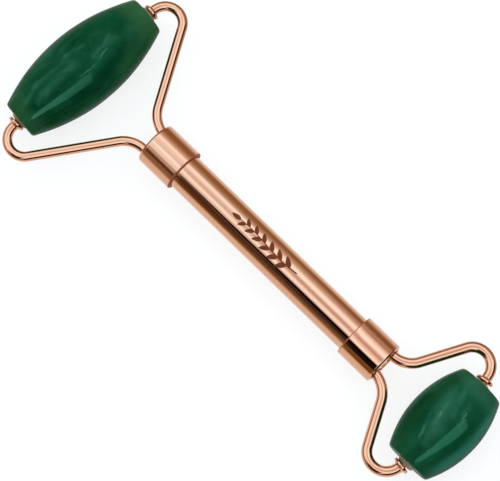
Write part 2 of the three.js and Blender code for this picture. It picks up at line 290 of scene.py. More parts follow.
def jade(name, stone, end, seed):
    """Polished green stone: cloudy body, soft streaks, a few hairline fractures and olive ends."""
    m, g, p = material(name)
    raw = g.add("ShaderNodeTexCoord").outputs["Object"]
    centre = ((stone["x"] + HANDLE_X) * MM, stone["y"] * MM, 0.0)
    local = g.mapping(raw, (1, 1, 1), centre, (0, 0, stone["tilt"] * RAD), kind="TEXTURE")
    mmv = g.vec("SCALE", local, scale=1000.0)
    co = g.vec("SCALE", local, scale=100.0)
    sway = g.noise(co, 0.9, 2.0, 0.5, w=seed).outputs["Color"]
    warped = g.vec("ADD", co, g.vec("SCALE", g.vec("SUBTRACT", sway, (0.5, 0.5, 0.5)), scale=0.8))
    body = g.noise(g.mapping(warped, (1.0, 0.55, 1.0)), 1.3, 5.0, 0.55, w=seed + 1.0).outputs["Fac"]
    fibre = g.noise(g.mapping(warped, (4.2, 0.75, 4.2), rotation=(0.0, 0.0, 0.20)), 1.0, 4.0, 0.62, w=seed + 2.0).outputs["Fac"]
    mottle = g.noise(warped, 7.5, 4.0, 0.65, w=seed + 3.0).outputs["Fac"]
    tone = (0.72, 0.84, 0.74) if end > 0 else (1.0, 1.0, 1.0)
    base = g.ramp(body, [(f, tuple(c * k for c, k in zip(cc, tone))) for f, cc in (
        (0.30, (0.0018, 0.043, 0.0155)), (0.45, (0.0042, 0.062, 0.0240)), (0.58, (0.0064, 0.076, 0.031)), (0.74, (0.0130, 0.104, 0.047)))])
    base = g.mix(g.math("MULTIPLY", g.remap(fibre, 0.52, 0.78), 0.34 if end > 0 else 0.45), base, (0.020, 0.125, 0.068))
    base = g.mix(g.math("MULTIPLY", g.remap(fibre, 0.46, 0.28), 0.45), base, (0.0012, 0.040, 0.015))
    base = g.mix(g.math("MULTIPLY", g.remap(mottle, 0.5, 0.8), 0.18), base, (0.022, 0.120, 0.055))
    olive = g.remap(g.noise(warped, 1.6, 3.0, 0.6, w=seed + 4.0).outputs["Fac"], 0.52, 0.74)
    base = g.mix(g.math("MULTIPLY", olive, 0.40), base, (0.017, 0.080, 0.022))
    # towards both ends the stone turns lighter and more olive
    sep = g.add("ShaderNodeSeparateXYZ")
    g.link(mmv, sep.inputs[0])
    along = g.math("DIVIDE", g.math("ABSOLUTE", sep.outputs[1]), stone["half"])
    along = g.math("ADD", along, g.math("MULTIPLY", g.math("SUBTRACT", body, 0.5), 0.35))
    tips = ((0.042, 0.115, 0.040), (0.021, 0.080, 0.024)) if end > 0 else ((0.045, 0.105, 0.052), (0.012, 0.064, 0.022))
    tip = g.mix(g.remap(sep.outputs[1], -stone["half"] * 0.5, stone["half"] * 0.5), tips[0], tips[1])
    base = g.mix(g.math("MULTIPLY", g.remap(along, 0.60, 1.02, smooth=True), 0.80 if end > 0 else 0.45), base, tip)
    wave = g.vec("ADD", mmv, g.vec("SCALE", g.vec("SUBTRACT", g.noise(co, 3.0, 3.0, 0.6, w=seed + 9.0).outputs["Color"], (0.5, 0.5, 0.5)), scale=1.6))
    # darken the body along the listed patches; the handle-side ones are painted shade
    for a, b, soft, power in DARK_CLOUD_AND_SHADE[end]:
        base = g.mix(g.math("MULTIPLY", segment(g, wave, a, b, soft), power), base, (0.0010, 0.036, 0.0135))
    # colour patches, including a painted reflection and painted shade on the small stone
    for a, b, soft, power, colour in TINTS_AND_PAINTED_LIGHT[end]:
        base = g.mix(g.math("MULTIPLY", segment(g, wave, a, b, soft), power), base, colour)
    gate = g.remap(fibre, 0.30, 0.62)
    for a, b, soft, power in STREAKS[end]:
        base = g.mix(g.math("MULTIPLY", g.math("MULTIPLY", segment(g, wave, a, b, soft), power), gate), base, (0.040, 0.170, 0.100))
    # hairline fractures: a few placed ones and level lines of a stretched noise here and there. Among the dark lines,
    # those along the handle-side edge are a painted dark reflection edge.
    fine = g.vec("ADD", mmv, g.vec("SCALE", g.vec("SUBTRACT", g.noise(co, 9.0, 3.0, 0.6, w=seed + 10.0).outputs["Color"], (0.5, 0.5, 0.5)), scale=0.9))
    above = g.remap(sep.outputs[2], 0.2, 1.0)
    level = g.vec("MULTIPLY", fine, (1.0, 1.0, 0.0))
    # thin dark lines: veins, plus a painted dark reflection edge along the handle side
    for a, b, soft, power in LINES[end]:
        vein_and_reflection_edge = g.math("MULTIPLY", segment(g, level, (*a, 0.0), (*b, 0.0), soft), above)
        base = g.mix(g.math("MULTIPLY", vein_and_reflection_edge, power), base, (0.004, 0.024, 0.006))
    for a, b, soft, power in CRACKS[end]:
        base = g.mix(g.math("MULTIPLY", segment(g, fine, a, b, soft), power), base, (0.085, 0.250, 0.160))
    hair = g.noise(g.mapping(warped, (1.5, 0.42, 1.5), rotation=(0.2, 0.1, 0.25)), 1.0, 2.0, 0.45, w=seed + 5.0).outputs["Fac"]
    line = g.remap(g.math("ABSOLUTE", g.math("SUBTRACT", hair, 0.5)), 0.0030, 0.0, smooth=True)
    where = g.remap(g.noise(co, 1.9, 1.0, w=seed + 6.0).outputs["Fac"], 0.60, 0.70, smooth=True)
    base = g.mix(g.math("MULTIPLY", g.math("MULTIPLY", line, where), 0.22), base, (0.05, 0.18, 0.10))
    g.put(p.inputs["Base Color"], base)
    p.inputs["Roughness"].default_value = 0.6
    p.inputs["Specular IOR Level"].default_value = 0.0
    p.inputs["Subsurface Weight"].default_value = 0.30
    p.inputs["Subsurface Radius"].default_value = (0.25, 1.0, 0.55)
    p.inputs["Subsurface Scale"].default_value = 0.0016
    wob = g.noise(co, 3.2, 2.0, 0.5, w=seed + 7.0).outputs["Fac"]
    pits = g.noise(co, 60.0, 2.0, 0.6, w=seed + 8.0).outputs["Fac"]
    b = g.bump(wob, 0.02, 0.0006)
    b = g.bump(pits, 0.015, 0.00004, b)
    # thin polish over the body: weak face on, stronger towards the silhouette
    gloss = g.add("ShaderNodeBsdfGlossy")
    g.put(gloss.inputs["Roughness"], g.remap(mottle, 0.3, 0.7, 0.008, 0.020))
    g.put(gloss.inputs["Normal"], b)
    facing = g.add("ShaderNodeLayerWeight")
    facing.inputs["Blend"].default_value = 0.5
    g.put(facing.inputs["Normal"], b)
    # seen square on, the light comes back through the green body; near the silhouette it is white
    g.put(gloss.inputs["Color"], g.mix(g.remap(facing.outputs["Facing"], 0.22, 0.62), (0.24, 1.0, 0.62), (1.0, 1.0, 1.0)))
    weight = g.math("MULTIPLY_ADD", g.math("POWER", facing.outputs["Facing"], 4.5), 0.24, 0.0028)
    mixs = g.add("ShaderNodeMixShader")
    g.link(weight, mixs.inputs[0])
    g.link(p.outputs[0], mixs.inputs[1])
    g.link(gloss.outputs[0], mixs.inputs[2])
    out = [n for n in g.t.nodes if n.type == "OUTPUT_MATERIAL"][0]
    g.link(mixs.outputs[0], out.inputs[0])
    return m


def cream(name):
    m, g, p = material(name)
    co = g.vec("SCALE", g.add("ShaderNodeTexCoord").outputs["Object"], scale=1000.0)
    n = g.noise(co, 0.7, 3.0, 0.6).outputs["Fac"]
    f = g.noise(co, 6.0, 2.0, 0.6).outputs["Fac"]
    g.put(p.inputs["Base Color"], g.mix(g.remap(n, 0.3, 0.7), (0.215, 0.148, 0.066), (0.34, 0.262, 0.140)))
    g.put(p.inputs["Roughness"], g.remap(f, 0.3, 0.7, 0.32, 0.48))
    p.inputs["Subsurface Weight"].default_value = 0.2
    p.inputs["Subsurface Scale"].default_value = 0.0008
    g.put(p.inputs["Normal"], g.bump(f, 0.15, 0.00003))
    return m


M_GRIP = plated("grip_plating", 0)
M_FERRULE = plated("ferrule_plating", 0)
M_WIRE = plated("wire_plating", 2, streak=0.012)
# the plug's plating is tinted darker than the grip's: painted shade of the recess in the ferrule's mouth
M_PLUG = plated("plug_plating", 2, tint=(0.50, 0.25, 0.15), rough=0.06)
M_ETCH = etched("etched_brown")
# the ferrule's rim next to the tube: painted shade of the seam, as a dark red-brown finish
M_SEAM_SHADE = seam_shade("rim_seam_shade")
M_JADE = {1: jade("jade_large", STONE[1], 1, 3.0), -1: jade("jade_small", STONE[-1], -1, 11.0)}
M_CREAM = cream("bush_cream")


# ------------------------------------------------------------------ mesh tools
def build(name, verts, faces, mats, mat_index=None, normals=None, sharp=35.0):
    me = bpy.data.meshes.new(name)
    me.from_pydata([tuple(c * MM for c in v) for v in verts], [], faces)
    for m in mats:
        me.materials.append(m)
    if mat_index is not None:
        me.polygons.foreach_set("material_index", mat_index)
    me.polygons.foreach_set("use_smooth", [True] * len(me.polygons))
    me.update()
    if normals is not None:
        me.normals_split_custom_set(normals)
    else:
        me.set_sharp_from_angle(angle=sharp * RAD)
    me.validate()
    ob = bpy.data.objects.new(name, me)
    scene.collection.objects.link(ob)
    return ob


def rounded(points, steps=8):
    """Rounds the marked corners of a closed profile of [radius, height, rounding]."""
    out = []
    n = len(points)
    for i in range(n):
        x, y = points[i][0], points[i][1]
        r = points[i][2] if len(points[i]) > 2 else 0
        p = Vector((x, y))
        if not r:
            out.append((x, y))
            continue
        a = Vector(points[i - 1][:2]) - p
        b = Vector(points[(i + 1) % n][:2]) - p
        a.normalize()
        b.normalize()
        half = math.acos(max(-1, min(1, a.dot(b)))) / 2
        t1 = p + a * (r / math.tan(half))
        t2 = p + b * (r / math.tan(half))
        c = p + (a + b).normalized() * (r / math.sin(half))
        a1 = math.atan2(t1.y - c.y, t1.x - c.x)
        da = math.atan2(t2.y - c.y, t2.x - c.x) - a1
        da = (da + math.pi) % (2 * math.pi) - math.pi
        for k in range(steps + 1):
            q = a1 + da * k / steps
            out.append((c.x + r * math.cos(q), c.y + r * math.sin(q)))
    return out


def lathe(profile, segs, place):
    """A closed ring from a closed profile of (radius, height); place maps (radius, angle, height) to a point."""
    n = len(profile)
    verts = [place(r, 2 * math.pi * s / segs, h) for (r, h) in profile for s in range(segs)]
    faces = []
    for i in range(n):
        j = (i + 1) % n
        for s in range(segs):
            t = (s + 1) % segs
            faces.append((i * segs + s, i * segs + t, j * segs + t, j * segs + s))
    return outward(verts, faces), faces


def outward(verts, faces):
    vol = 0.0
    for f in faces:
        a = Vector(verts[f[0]])
        for k in range(1, len(f) - 1):
            vol += a.dot(Vector(verts[f[k]]).cross(Vector(verts[f[k + 1]])))
    if vol < 0:
        faces[:] = [tuple(reversed(f)) for f in faces]
    return verts


def along_x(r, a, h):
    return (HANDLE_X + h, r * math.sin(a), r * math.cos(a))


def stone_place(stone):
    t = stone["tilt"] * RAD
    c, s = math.cos(t), math.sin(t)

    def place(r, a, h):
        x, y, z = r * math.cos(a), h, r * math.sin(a)
        return (HANDLE_X + stone["x"] + c * x - s * y, stone["y"] + s * x + c * y, z)

    return place


# ------------------------------------------------------------------ grip with its engraved sprig
def leaf(cx, cy, angle, length, width, hook=0.0, n=14):
    """A pointed leaf from its stalk at (cx, cy)."""
    pts = []
    c, s = math.cos(angle), math.sin(angle)
    for side in (1, -1):
        rng = range(n + 1) if side > 0 else range(n - 1, 0, -1)
        for i in rng:
            t = i / n
            w = width * 0.5 * math.sin(math.pi * t ** 0.80) ** 0.85 if 0 < t < 1 else 0.0
            u, v = length * t, side * w + hook * math.sin(math.pi * t)
            pts.append((cx + c * u - s * v, cy + s * u + c * v))
    return pts


def stem(x0, x1, f, w0, w1, n=48):
    top, bottom = [], []
    for i in range(n + 1):
        t = i / n
        x = x0 + (x1 - x0) * t
        w = w0 + (w1 - w0) * t
        top.append((x, f(x) + w / 2))
        bottom.append((x, f(x) - w / 2))
    return top + bottom[::-1]


def sprig():
    """Outlines of the ornament on the unrolled tube: x along the grip, s round it."""
    f = lambda x: 0.34 * math.sin(x * 0.30)
    slope = lambda x: math.atan(0.34 * 0.30 * math.cos(x * 0.30))
    shapes = [stem(-11.2, 9.0, f, 0.40, 0.24)]
    k = 0
    for x in (-8.9, -5.9, -2.9, 0.1, 3.0, 5.8):
        size = 1.0 - 0.05 * k
        for side in (1, -1):
            xx = x + (0.0 if side > 0 else 1.1)
            a = slope(xx) + side * (42 * RAD)
            shapes.append(leaf(xx, f(xx), a, 3.35 * size, 1.42 * size, side * -0.14))
        k += 1
    shapes.append(leaf(8.7, f(8.7), slope(8.7), 3.0, 1.25))
    return shapes


def inside(poly, x, y):
    hit = False
    j = len(poly) - 1
    for i in range(len(poly)):
        xi, yi = poly[i]
        xj, yj = poly[j]
        if (yi > y) != (yj > y) and x < (xj - xi) * (y - yi) / (yj - yi) + xi:
            hit = not hit
        j = i
    return hit


def grip():
    segs = 256
    step = 2 * math.pi / segs
    depth = 0.10
    spread = 34                       # patch half-width in segments
    cx, cs = 1.5, 0.65 / TUBE_R       # ornament centre: x from the handle's middle, angle towards -Y
    x0, x1, nx = -11.6, 12.2, 34
    shapes = sprig()
    ch = 0.3
    verts, faces, mats, norms = [], [], [], []

    def outer(x, a, r=TUBE_R):
        return (HANDLE_X + x, r * math.sin(a), r * math.cos(a))

    def radial(a):
        return Vector((0, math.sin(a), math.cos(a)))

    # rings of the plain tube: (x, radius, normal tilt), from the bore round the outside and back
    centre_seg = -round(cs / step)
    lo_seg, hi_seg = centre_seg - spread, centre_seg + spread
    xs = [cx + x0 + (x1 - x0) * i / nx for i in range(nx + 1)]
    profile = [(-TUBE_HALF, TUBE_R - ch), (-TUBE_HALF + 0.09, TUBE_R - 0.09), (-TUBE_HALF + ch, TUBE_R), (-20.0, TUBE_R)]
    profile += [(x, TUBE_R) for x in xs]
    profile += [(24.0, TUBE_R), (TUBE_HALF - ch, TUBE_R), (TUBE_HALF - 0.09, TUBE_R - 0.09), (TUBE_HALF, TUBE_R - ch), (TUBE_HALF, TUBE_BORE), (-TUBE_HALF, TUBE_BORE)]
    first = 4
    last = first + nx
    index = {}
    for i, (x, r) in enumerate(profile):
        for s in range(segs):
            index[(i, s)] = len(verts)
            verts.append(outer(x, s * step, r))
    n = len(profile)
    patch_cols = {s % segs for s in range(lo_seg, hi_seg)}

    def face(f, mat, nn):
        faces.append(tuple(f))
        mats.append(mat)
        norms.append(nn)

    for i in range(n):
        j = (i + 1) % n
        (xa, ra), (xb, rb) = profile[i], profile[j]
        for s in range(segs):
            if first <= i < last and s in patch_cols:
                continue
            t = (s + 1) % segs
            quad = (index[(i, s)], index[(j, s)], index[(j, t)], index[(i, t)])
            a, b = s * step, (s + 1) * step
            if ra == rb == TUBE_R:
                nn = [radial(a), radial(a), radial(b), radial(b)]
            elif ra == rb:
                nn = [-radial(a), -radial(a), -radial(b), -radial(b)]
            else:
                d = Vector((rb - ra, xb - xa))
                d.normalize()
                k = Vector((-d.x, 0, 0))
                nn = [k + radial(q) * d.y for q in (a, a, b, b)]
            face(quad, 0, nn)
    # the engraved patch
    pts, where = [], []
    for i in range(first, last + 1):
        for s in range(lo_seg, hi_seg + 1):
            edge = i in (first, last) or s in (lo_seg, hi_seg)
            x, sa = profile[i][0], s * step
            if not edge:
                if s % 2:
                    continue
                u, v = x - cx, -(sa - centre_seg * step) * TUBE_R
                near = any(abs(px - u) < 0.16 and abs(py - v) < 0.16 for shp in shapes for px, py in shp)
                if near:
                    continue
            pts.append(Vector((x, sa * TUBE_R)))
            where.append((i, s % segs) if edge else None)
    base = len(pts)
    edges = []
    polys = []
    for shp in shapes:
        ids = []
        real = []
        for px, py in shp:
            q = Vector((cx + px, centre_seg * step * TUBE_R - py))
            ids.append(len(pts))
            real.append((q.x, q.y))
            pts.append(q)
            where.append(None)
        edges += [(ids[k], ids[(k + 1) % len(ids)]) for k in range(len(ids))]
        polys.append(real)
    v2, e2, f2, vo, eo, fo = delaunay_2d_cdt(pts, edges, [], 0, 1e-5)
    top = []
    for k, q in enumerate(v2):
        src = [o for o in vo[k] if o < len(where) and where[o] is not None]
        if src:
            top.append(index[where[src[0]]])
        else:
            top.append(len(verts))
            a = q.y / TUBE_R
            verts.append(outer(q.x, a))
    ang = [q.y / TUBE_R for q in v2]
    floor = {}

    def low(k):
        if k not in floor:
            floor[k] = len(verts)
            verts.append(outer(v2[k].x, ang[k], TUBE_R - depth))
        return floor[k]

    sunk = []
    half = {}
    for fi, f in enumerate(f2):
        mx = sum(v2[k].x for k in f) / len(f)
        my = sum(v2[k].y for k in f) / len(f)
        is_in = any(inside(poly, mx, my) for poly in polys)
        sunk.append(is_in)
        area = sum(v2[f[k]].x * v2[f[(k + 1) % len(f)]].y - v2[f[(k + 1) % len(f)]].x * v2[f[k]].y for k in range(len(f)))
        ring = list(f) if area > 0 else list(reversed(f))
        if is_in:
            face([low(k) for k in ring], 1, [radial(ang[k]) for k in ring])
        else:
            face([top[k] for k in ring], 0, [radial(ang[k]) for k in ring])
        for a, b in zip(ring, ring[1:] + ring[:1]):
            half[(a, b)] = is_in
    for (a, b), is_in in list(half.items()):
        if is_in and half.get((b, a)) is False:
            # wall between the sunk face on (a, b) and the outer face on (b, a)
            d = (Vector(verts[top[b]]) - Vector(verts[top[a]])).normalized()
            nn = d.cross(radial((ang[a] + ang[b]) / 2))
            quad = [top[a], top[b], low(b), low(a)]
            fn = (Vector(verts[quad[1]]) - Vector(verts[quad[0]])).cross(Vector(verts[quad[3]]) - Vector(verts[quad[0]]))
            # the wall faces into the sunk side, which lies to the left of (a, b) seen from outside
            inward = radial((ang[a] + ang[b]) / 2).cross(d)
            if fn.dot(inward) < 0:
                quad.reverse()
            face(quad, 1, [inward] * 4)
    loop_normals = [tuple(v.normalized()) for nn in norms for v in nn]
    ob = build("grip_tube", verts, faces, [M_GRIP, M_ETCH], mats, loop_normals)
    return ob


def place_piece(ob, body, slot, *nodes):
    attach(ob, body)
    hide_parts(*nodes)
    return ob


place_piece(grip(), "handle", "handle_plating", "handle_tube")


# ------------------------------------------------------------------ ferrules and plugs
def ferrule(end):
    """Turned ring with a rounded outer edge; its rim round the tube carries the painted seam shade in a dark red-brown
    finish.
    """
    inner = 0.30
    prof = rounded([
        (FERRULE_BORE, end * FERRULE_IN, 0.10), (FERRULE_R, end * FERRULE_IN, inner), (FERRULE_R, end * (FERRULE_IN + inner + 0.06)),
        (FERRULE_R, end * (FERRULE_OUT[end] - 0.78)), (FERRULE_R, end * FERRULE_OUT[end], 0.72), (FERRULE_BORE, end * FERRULE_OUT[end], 0.10),
    ], 10)
    segs = 224
    verts, faces = lathe(prof, segs, along_x)
    mats = []
    for f in faces:
        x = end * (sum(verts[k][0] for k in f) / 4 - HANDLE_X)
        r = sum(math.hypot(verts[k][1], verts[k][2]) for k in f) / 4
        # faces on the rim next to the tube get the painted shade of the seam
        mats.append(1 if x < FERRULE_IN + inner * 0.78 and r > FERRULE_BORE + 0.02 else 0)
    return build(f"ferrule_{PREFIX[end]}_fine", verts, faces, [M_FERRULE, M_SEAM_SHADE], mats)


def plug(end):
    """Turned plug: a face with two holes for the wire tails, and a spigot."""
    segs = 96
    face_x = end * (FERRULE_OUT[end] - PLUG_RECESS)
    hole_r = WIRE_R[end] + 0.10
    deep = end * (FERRULE_OUT[end] - TAIL_DEPTH - 0.4)
    verts, faces = [], []

    def ring(r, x, cy=0.0, n=segs):
        ids = []
        for s in range(n):
            a = 2 * math.pi * s / n
            ids.append(len(verts))
            verts.append((HANDLE_X + x, cy + r * math.sin(a), r * math.cos(a)))
        return ids

    def band(a, b):
        n = len(a)
        for s in range(n):
            t = (s + 1) % n
            faces.append((a[s], a[t], b[t], b[s]))

    def cap(a, flip=False):
        faces.append(tuple(a if not flip else reversed(a)))

    e = end
    rim = ring(PLUG_R - 0.18, face_x)
    chain = [rim, ring(PLUG_R - 0.05, face_x - e * 0.05), ring(PLUG_R, face_x - e * 0.18), ring(PLUG_R, e * PLUG_FROM),
             ring(SPIGOT_R, e * PLUG_FROM), ring(SPIGOT_R, e * (PLUG_FROM - SPIGOT_LEN))]
    for a, b in zip(chain, chain[1:]):
        band(a, b) if e < 0 else band(b, a)
    cap(chain[-1], flip=e > 0)
    mouths = []
    for side in (1, -1):
        m0 = ring(hole_r + 0.12, face_x, side * TAIL_Y, 40)
        m1 = ring(hole_r, face_x - e * 0.12, side * TAIL_Y, 40)
        m2 = ring(hole_r, deep, side * TAIL_Y, 40)
        for a, b in ((m0, m1), (m1, m2)):
            band(b, a) if e < 0 else band(a, b)
        cap(m2, flip=e < 0)
        mouths.append(m0)
    pts = [Vector((verts[i][1], verts[i][2])) for i in rim]
    ids = list(rim)
    edges = [(k, (k + 1) % segs) for k in range(segs)]
    for m in mouths:
        b = len(pts)
        pts += [Vector((verts[i][1], verts[i][2])) for i in m]
        ids += m
        edges += [(b + k, b + (k + 1) % len(m)) for k in range(len(m))]
    v2, e2, f2, vo, eo, fo = delaunay_2d_cdt(pts, edges, [], 0, 1e-6)
    back = [ids[o[0]] for o in vo]
    for f in f2:
        cy = sum(v2[k].x for k in f) / len(f)
        cz = sum(v2[k].y for k in f) / len(f)
        if any(math.hypot(cy - s * TAIL_Y, cz) < hole_r + 0.11 for s in (1, -1)):
            continue
        area = sum(v2[f[k]].x * v2[f[(k + 1) % len(f)]].y - v2[f[(k + 1) % len(f)]].x * v2[f[k]].y for k in range(len(f)))
        tri = [back[k] for k in f]
        if (area > 0) != (e > 0):
            tri.reverse()
        faces.append(tuple(tri))
    return build(f"end_plug_{PREFIX[end]}_fine", verts, faces, [M_PLUG], sharp=30.0)


for end in (1, -1):
    place_piece(ferrule(end), "handle", "handle_plating", f"ferrule_{PREFIX[end]}")
    place_piece(plug(end), "handle", "plug_plating", f"end_plug_{PREFIX[end]}")


# ------------------------------------------------------------------ wire arms
def arm_stations(arm):
    """Centre line of an arm as (point, heading, radius), from its tail to the tip of its pin."""
    end, side, st = arm["end"], arm["side"], STONE[arm["end"]]
    turn = end * side
    t = st["tilt"] * RAD
    axis = Vector((-math.sin(t), math.cos(t))) * side
    centre = Vector((st["x"], st["y"]))
    r = WIRE_R[end]
    p = Vector((end * (FERRULE_OUT[end] - TAIL_DEPTH), side * TAIL_Y))
    h = 0.0 if end > 0 else math.pi
    out = [(p.copy(), h, r - 0.25), (p + Vector((end * 0.25, 0)), h, r)]

    def line(length, n):
        nonlocal p
        d = Vector((math.cos(h), math.sin(h)))
        start = out[-1][0].copy()
        target = p + d * length
        for i in range(1, n + 1):
            out.append((start.lerp(target, i / n), h, r))
        p = target

    def arc(radius, angle, sense, n):
        nonlocal p, h
        c = Vector((p.x - sense * radius * math.sin(h), p.y + sense * radius * math.cos(h)))
        h0 = h
        for i in range(1, n + 1):
            h = h0 + sense * angle * i / n
            out.append((Vector((c.x + sense * radius * math.sin(h), c.y - sense * radius * math.cos(h))), h, r))
        p = out[-1][0].copy()

    line(TAIL_DEPTH + arm["start"], 4)
    arc(arm["r1"], arm["bend"] * RAD, turn, 30)
    goal = math.atan2(-axis.y, -axis.x)
    sense = -turn
    # the hook stops a few degrees short of the stone's axis, and the collar sits square to the wire
    angle = (sense * (goal - h)) % (2 * math.pi) - arm["lean"] * RAD
    normal = Vector((-axis.y, axis.x))
    seat_at = st["half"] + arm["seat"]
    goal_at = centre + axis * seat_at + Vector((math.cos(t), math.sin(t))) * (end * arm["off"])

    def to_seat(q, heading):
        dv = Vector((math.cos(heading), math.sin(heading)))
        return ((q - centre).dot(axis) - seat_at) / -dv.dot(axis), dv

    def off(l):
        q = p + Vector((math.cos(h), math.sin(h))) * l
        R = arm["hook"]
        c = Vector((q.x - sense * R * math.sin(h), q.y + sense * R * math.cos(h)))
        hh = h + sense * angle
        e = Vector((c.x + sense * R * math.sin(hh), c.y - sense * R * math.cos(hh)))
        far, dv = to_seat(e, hh)
        return (e + dv * far - goal_at).dot(normal)

    e0 = off(0.0)
    line(-e0 / (off(1.0) - e0), 20)
    arc(arm["hook"], angle, sense, 64)
    line(to_seat(p, h)[0], 4)
    seat = (p.copy(), h)
    # the pin steps over to the stone's axis before it enters the bush
    face = centre + axis * (st["half"] + arm["seat"] - (1.6 + arm["off"]) * math.tan(arm["lean"] * RAD) - 0.02)
    out.append((p - axis * 0.04, goal, PIN_R + 0.04))
    out.append((face, goal, PIN_R))
    out.append((face - axis * (PIN_LEN - 0.2), goal, PIN_R))
    out.append((face - axis * PIN_LEN, goal, PIN_R - 0.2))
    return out, seat


def arm_piece(arm):
    segs = 48
    st, seat = arm_stations(arm)
    verts, faces = [], []
    for p, h, r in st:
        nx, ny = -math.sin(h), math.cos(h)
        for s in range(segs):
            a = 2 * math.pi * s / segs
            verts.append((HANDLE_X + p.x + nx * r * math.cos(a), p.y + ny * r * math.cos(a), r * math.sin(a)))
    for i in range(len(st) - 1):
        for s in range(segs):
            t = (s + 1) % segs
            faces.append((i * segs + s, i * segs + t, (i + 1) * segs + t, (i + 1) * segs + s))
    faces.append(tuple(range(segs))[::-1])
    faces.append(tuple((len(st) - 1) * segs + s for s in range(segs)))
    outward(verts, faces)
    return build(arm["name"] + "_wire", verts, faces, [M_WIRE])


def collar_piece(arm):
    p, h = arm_stations(arm)[1]
    back_x, back_y = -math.cos(h), -math.sin(h)
    bore, rim = WIRE_R[arm["end"]] + 0.02, arm["rim"]

    def place(r, a, up):
        side = r * math.cos(a)
        return (HANDLE_X + p.x + back_x * up - back_y * side, p.y + back_y * up + back_x * side, r * math.sin(a))

    prof = rounded([
        (bore, 0.0), (rim, 0.0, 0.36), (rim, COLLAR_T, 0.36),
        (bore + 0.40, COLLAR_T + 0.05, 0.14), (bore + 0.10, COLLAR_T + 0.36, 0.06), (bore, COLLAR_T + 0.38),
    ], 8)
    verts, faces = lathe(prof, 96, place)
    return build(arm["name"].replace("arm", "collar") + "_fine", verts, faces, [M_WIRE])


for arm in ARMS:
    place_piece(arm_piece(arm), "handle", "wire_plating", arm["name"])
    place_piece(collar_piece(arm), "handle", "wire_plating", arm["name"].replace("arm", "collar"))


# ------------------------------------------------------------------ stones and bushes
def stone_piece(end):
    st = STONE[end]
    h, R, re, pw = st["half"], st["mid"], st["end"], st["power"]
    prof = [(STONE_BORE, -h, 0.12), (re, -h, st["edge"])]
    n = 72
    for i in range(1, n):
        t = -1 + 2 * i / n
        r = R - (R - re) * abs(t) ** pw
        if abs(t) * h > h - st["edge"] * 0.8:
            continue
        prof.append((r, t * h))
    prof += [(re, h, st["edge"]), (STONE_BORE, h, 0.12)]
    prof = rounded(prof, 12)
    k = len(prof)
    dense = []
    for i in range(k):
        dense.append(prof[i])
    # the long bore is cut into short rings so that nothing is stretched
    for i in range(1, 12):
        dense.append((STONE_BORE, h - 0.12 - (2 * h - 0.24) * i / 12))
    place = stone_place(st)
    verts, faces = lathe(dense, 200, place)
    seed = 1.7 if end > 0 else 4.1
    out = []
    for v in verts:
        x, y, z = v
        # slow hand-polished unevenness, at most a few hundredths of a millimetre
        w = 0.020 * math.sin(0.42 * x + 0.31 * y + seed) * math.cos(0.38 * z + 0.21 * y) + 0.012 * math.sin(0.9 * z + 0.7 * x + 2 * seed)
        cx, cy = HANDLE_X + st["x"], st["y"]
        t = st["tilt"] * RAD
        ax = Vector((-math.sin(t), math.cos(t), 0))
        q = Vector((x - cx, y - cy, z))
        rad = q - ax * q.dot(ax)
        if rad.length > STONE_BORE + 0.5:
            q = q + rad.normalized() * (w - 0.02)
        out.append((q.x + cx, q.y + cy, q.z))
    return build(f"{PREFIX[end]}_stone_fine", out, faces, [M_JADE[end]], sharp=50.0)


def bush_piece(end, side):
    st = STONE[end]
    h = st["half"]
    arm = next(a for a in ARMS if a["end"] == end and a["side"] == side)
    o = arm["bush"]
    neck = arm["seat"] - (1.6 + arm["off"]) * math.tan(arm["lean"] * RAD) - 0.03
    prof = rounded([
        (BUSH_BORE, side * (h - BUSH_IN)), (BUSH_R, side * (h - BUSH_IN)), (BUSH_R, side * (h + 0.06), 0.12),
        (2.02, side * (h + o), 0.16), (1.60, side * (h + o + 0.01)), (1.58, side * (h + neck)), (BUSH_BORE + 0.05, side * (h + neck)), (BUSH_BORE, side * (h + neck - 0.2)),
    ], 6)
    verts, faces = lathe(prof, 96, stone_place(st))
    return build(f"{PREFIX[end]}_bush_{'left' if side > 0 else 'right'}_fine", verts, faces, [M_CREAM])


for end in (1, -1):
    body = f"{PREFIX[end]}_roller"
    place_piece(stone_piece(end), body, "green_stone", f"{PREFIX[end]}_stone")
    for side in (1, -1):
        node = f"{PREFIX[end]}_bush_{'left' if side > 0 else 'right'}"
        place_piece(bush_piece(end, side), body, "bush_plastic", node)


# ------------------------------------------------------------------ floor
FLOOR_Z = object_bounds()[0][2] - 0.00002
me = bpy.data.meshes.new("floor")
S = 6.0
me.from_pydata([(-S, -S, FLOOR_Z), (S, -S, FLOOR_Z), (S, S, FLOOR_Z), (-S, S, FLOOR_Z)], [], [(0, 1, 2, 3)])
floor = bpy.data.objects.new("floor", me)
scene.collection.objects.link(floor)
m, g, p = material("floor_white")
p.inputs["Roughness"].default_value = 0.9
p.inputs["Specular IOR Level"].default_value = 0.0
sep = g.add("ShaderNodeSeparateXYZ")
g.link(g.add("ShaderNodeTexCoord").outputs["Object"], sep.inputs[0])
